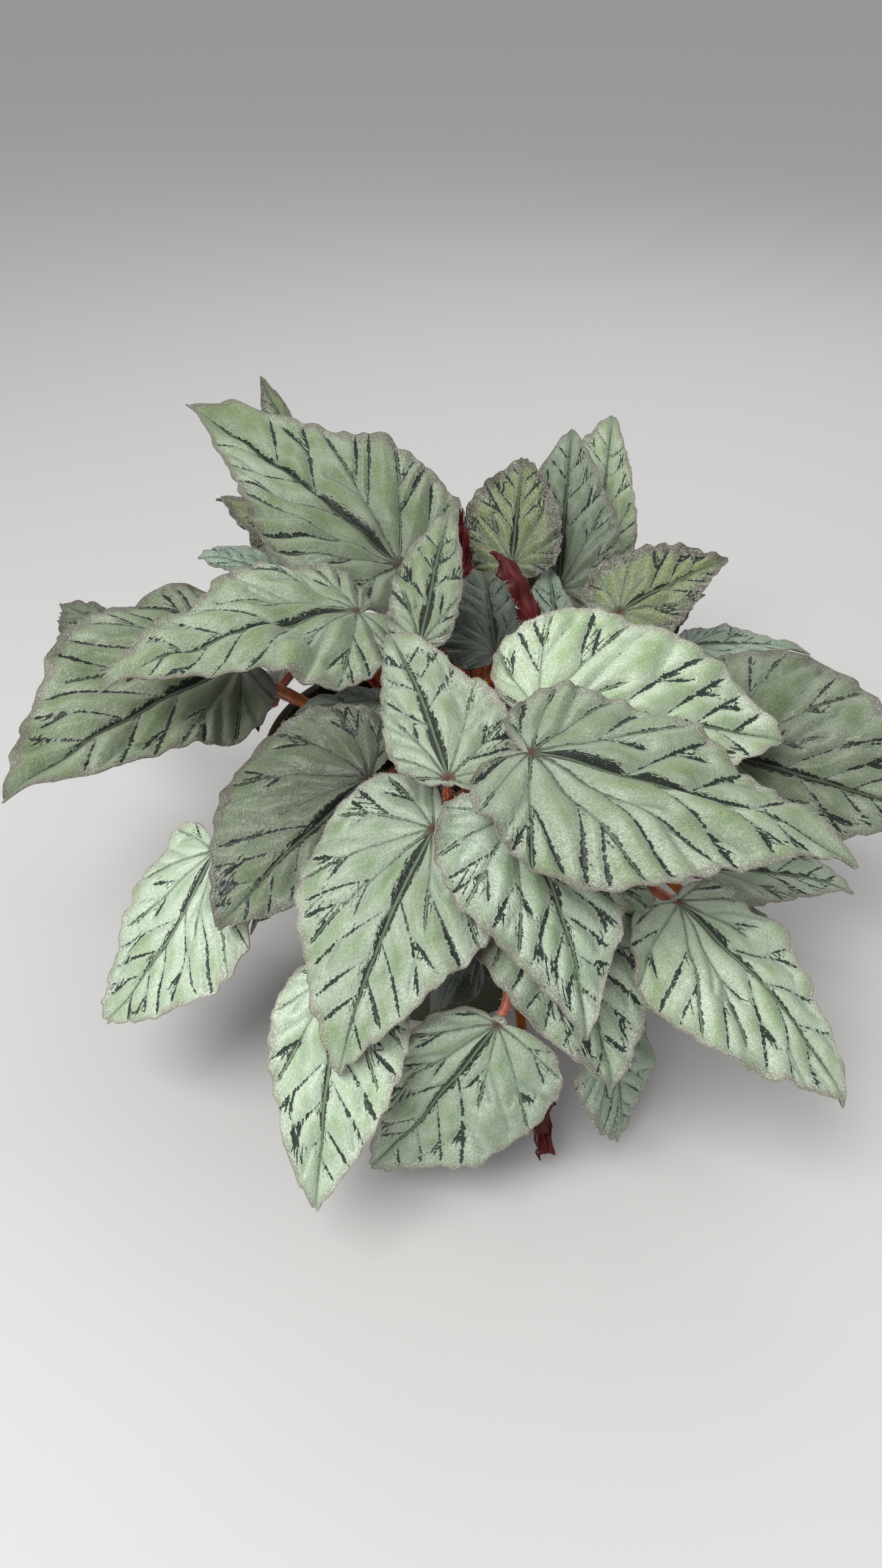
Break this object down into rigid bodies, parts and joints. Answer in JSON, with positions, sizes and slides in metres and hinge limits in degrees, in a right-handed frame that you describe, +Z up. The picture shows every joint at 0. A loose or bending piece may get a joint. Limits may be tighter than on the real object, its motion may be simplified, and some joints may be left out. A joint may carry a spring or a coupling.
{
  "type": "potted begonia",
  "caption": "Potted rex begonia: pointed, waved silver-green leaves on thin stalks spread over and hang down round a round plastic pot of soil.",
  "frame": {"origin": "centre of the pot's base, on the surface that it stands on", "axes": "+Z up along the pot's axis; -Y is the front, from which the picture looks down on the plant"},
  "size_m": [0.4309, 0.4236, 0.2256],
  "materials": {
    "leaf": "satin, finely hairy",
    "stem": "satin, finely hairy",
    "soil": "rough, crumbly",
    "pot": "satin moulded"
  },
  "bodies": {
    "root": {"blade_back_left_hidden": "leaf", "blade_back_left_large": "leaf", "blade_back_left_under": "leaf", "blade_back_tall_dark": "leaf", "blade_back_tall_light": "leaf", "blade_behind_back": "leaf", "blade_behind_left": "leaf", "blade_behind_left_back": "leaf", "blade_behind_left_low": "leaf", "blade_behind_right": "leaf", "blade_behind_right_back": "leaf", "blade_behind_right_low": "leaf", "blade_bottom_centre": "leaf", "blade_bottom_curl": "leaf", "blade_bottom_right": "leaf", "blade_centre_back_young": "leaf", "blade_centre_dark": "leaf", "blade_centre_middle": "leaf", "blade_centre_shade": "leaf", "blade_centre_teal": "leaf", "blade_centre_top_small": "leaf", "blade_far_left_small": "leaf", "blade_folded_red_left": "leaf", "blade_folded_red_right": "leaf", "blade_front_centre": "leaf", "blade_front_gap": "leaf", "blade_front_left_hanging": "leaf", "blade_front_right": "leaf", "blade_front_right_under": "leaf", "blade_left_bluish": "leaf", "blade_left_curled": "leaf", "blade_left_grey": "leaf", "blade_left_middle": "leaf", "blade_left_pale": "leaf", "blade_left_ruffled": "leaf", "blade_left_under_middle": "leaf", "blade_left_wave": "leaf", "blade_right_back_flat": "leaf", "blade_right_back_young": "leaf", "blade_right_behind_hanging": "leaf", "blade_right_crumpled": "leaf", "blade_right_far": "leaf", "blade_right_front_top": "leaf", "blade_right_gap": "leaf", "blade_right_hanging": "leaf", "blade_right_low": "leaf", "blade_right_middle": "leaf", "pot": "pot", "soil": "soil", "stems": "stem"}
  },
  "joints": []
}
